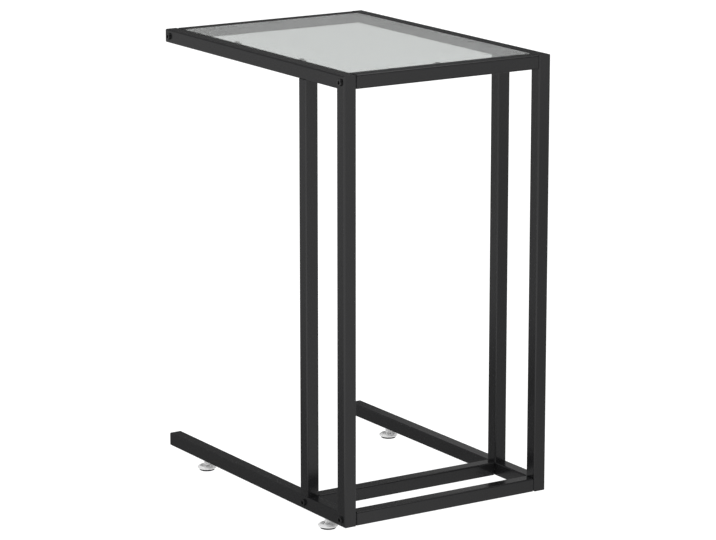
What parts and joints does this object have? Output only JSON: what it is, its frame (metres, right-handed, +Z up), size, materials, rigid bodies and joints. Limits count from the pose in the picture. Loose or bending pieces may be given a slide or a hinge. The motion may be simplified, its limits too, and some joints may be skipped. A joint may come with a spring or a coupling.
{
  "type": "c shaped side table",
  "caption": "C-shaped side table: black square-tube steel frame with paired posts at one end, open at the other to slide over a seat, with a flush glass top and levelling feet.",
  "frame": {"origin": "on the floor under the middle of the table's box", "axes": "+X from the open end to the closed end, +Y from the left side frame to the right, +Z up"},
  "size_m": [0.504, 0.3584, 0.6665],
  "materials": {
    "black_powder_coat": "satin",
    "black_plastic": "moulded",
    "black_bolt_steel": "black oxide",
    "clear_silicone": "clear",
    "clear_glass": "polished",
    "black_rubber": "matt",
    "nickel_plate": "satin nickel",
    "zinc_plate": "zinc plated"
  },
  "bodies": {
    "frame": {"left_top_rail": "black_powder_coat", "left_bottom_rail": "black_powder_coat", "left_rear_post": "black_powder_coat", "left_inner_post": "black_powder_coat", "right_top_rail": "black_powder_coat", "right_bottom_rail": "black_powder_coat", "right_rear_post": "black_powder_coat", "right_inner_post": "black_powder_coat", "front_top_cross_rail": "black_powder_coat", "rear_top_cross_rail": "black_powder_coat", "rear_bottom_cross_rail": "black_powder_coat", "inner_bottom_cross_rail": "black_powder_coat", "left_top_end_plate": "black_powder_coat", "right_top_end_plate": "black_powder_coat", "left_bottom_end_plug": "black_plastic", "right_bottom_end_plug": "black_plastic", "cross_rail_nut_plates": "black_powder_coat", "frame_bolts": "black_bolt_steel", "front_glass_tab": "black_powder_coat", "front_glass_bumper": "clear_silicone", "rear_glass_tab": "black_powder_coat", "rear_glass_bumper": "clear_silicone", "left_front_glass_tab": "black_powder_coat", "left_front_glass_bumper": "clear_silicone", "left_rear_glass_tab": "black_powder_coat", "left_rear_glass_bumper": "clear_silicone", "right_front_glass_tab": "black_powder_coat", "right_front_glass_bumper": "clear_silicone", "right_rear_glass_tab": "black_powder_coat", "right_rear_glass_bumper": "clear_silicone", "left_front_foot_insert": "zinc_plate", "left_rear_foot_insert": "zinc_plate", "right_front_foot_insert": "zinc_plate", "right_rear_foot_insert": "zinc_plate"},
    "glass_top": {"glass_pane": "clear_glass"},
    "left_front_foot": {"left_front_foot_disc": "nickel_plate", "left_front_foot_pad": "black_rubber"},
    "left_front_stud": {"left_front_foot_stud": "nickel_plate"},
    "left_rear_foot": {"left_rear_foot_disc": "nickel_plate", "left_rear_foot_pad": "black_rubber"},
    "left_rear_stud": {"left_rear_foot_stud": "nickel_plate"},
    "right_front_foot": {"right_front_foot_disc": "nickel_plate", "right_front_foot_pad": "black_rubber"},
    "right_front_stud": {"right_front_foot_stud": "nickel_plate"},
    "right_rear_foot": {"right_rear_foot_disc": "nickel_plate", "right_rear_foot_pad": "black_rubber"},
    "right_rear_stud": {"right_rear_foot_stud": "nickel_plate"}
  },
  "joints": [
    {"name": "glass_lift", "type": "slide", "parent": "frame", "child": "glass_top", "axis": [0, 0, 1], "range_m": [0, 0.06]},
    {"name": "left_front_foot_height", "type": "slide", "parent": "frame", "child": "left_front_foot", "axis": [0, 0, -1], "range_m": [0, 0.01]},
    {"name": "left_front_stud_turn", "type": "hinge", "parent": "left_front_foot", "child": "left_front_stud", "pos_m": [-0.155, -0.165, 0], "axis": [0, 0, -1], "range_deg": [0, 3600]},
    {"name": "left_rear_foot_height", "type": "slide", "parent": "frame", "child": "left_rear_foot", "axis": [0, 0, -1], "range_m": [0, 0.01]},
    {"name": "left_rear_stud_turn", "type": "hinge", "parent": "left_rear_foot", "child": "left_rear_stud", "pos_m": [0.192, -0.165, 0], "axis": [0, 0, -1], "range_deg": [0, 3600]},
    {"name": "right_front_foot_height", "type": "slide", "parent": "frame", "child": "right_front_foot", "axis": [0, 0, -1], "range_m": [0, 0.01]},
    {"name": "right_front_stud_turn", "type": "hinge", "parent": "right_front_foot", "child": "right_front_stud", "pos_m": [-0.155, 0.165, 0], "axis": [0, 0, -1], "range_deg": [0, 3600]},
    {"name": "right_rear_foot_height", "type": "slide", "parent": "frame", "child": "right_rear_foot", "axis": [0, 0, -1], "range_m": [0, 0.01]},
    {"name": "right_rear_stud_turn", "type": "hinge", "parent": "right_rear_foot", "child": "right_rear_stud", "pos_m": [0.192, 0.165, 0], "axis": [0, 0, -1], "range_deg": [0, 3600]}
  ],
  "couplings": [
    {"joint": "left_front_stud_turn", "follows": "left_front_foot_height", "rad_per_m": 6283.2},
    {"joint": "left_rear_stud_turn", "follows": "left_rear_foot_height", "rad_per_m": 6283.2},
    {"joint": "right_front_stud_turn", "follows": "right_front_foot_height", "rad_per_m": 6283.2},
    {"joint": "right_rear_stud_turn", "follows": "right_rear_foot_height", "rad_per_m": 6283.2}
  ]
}
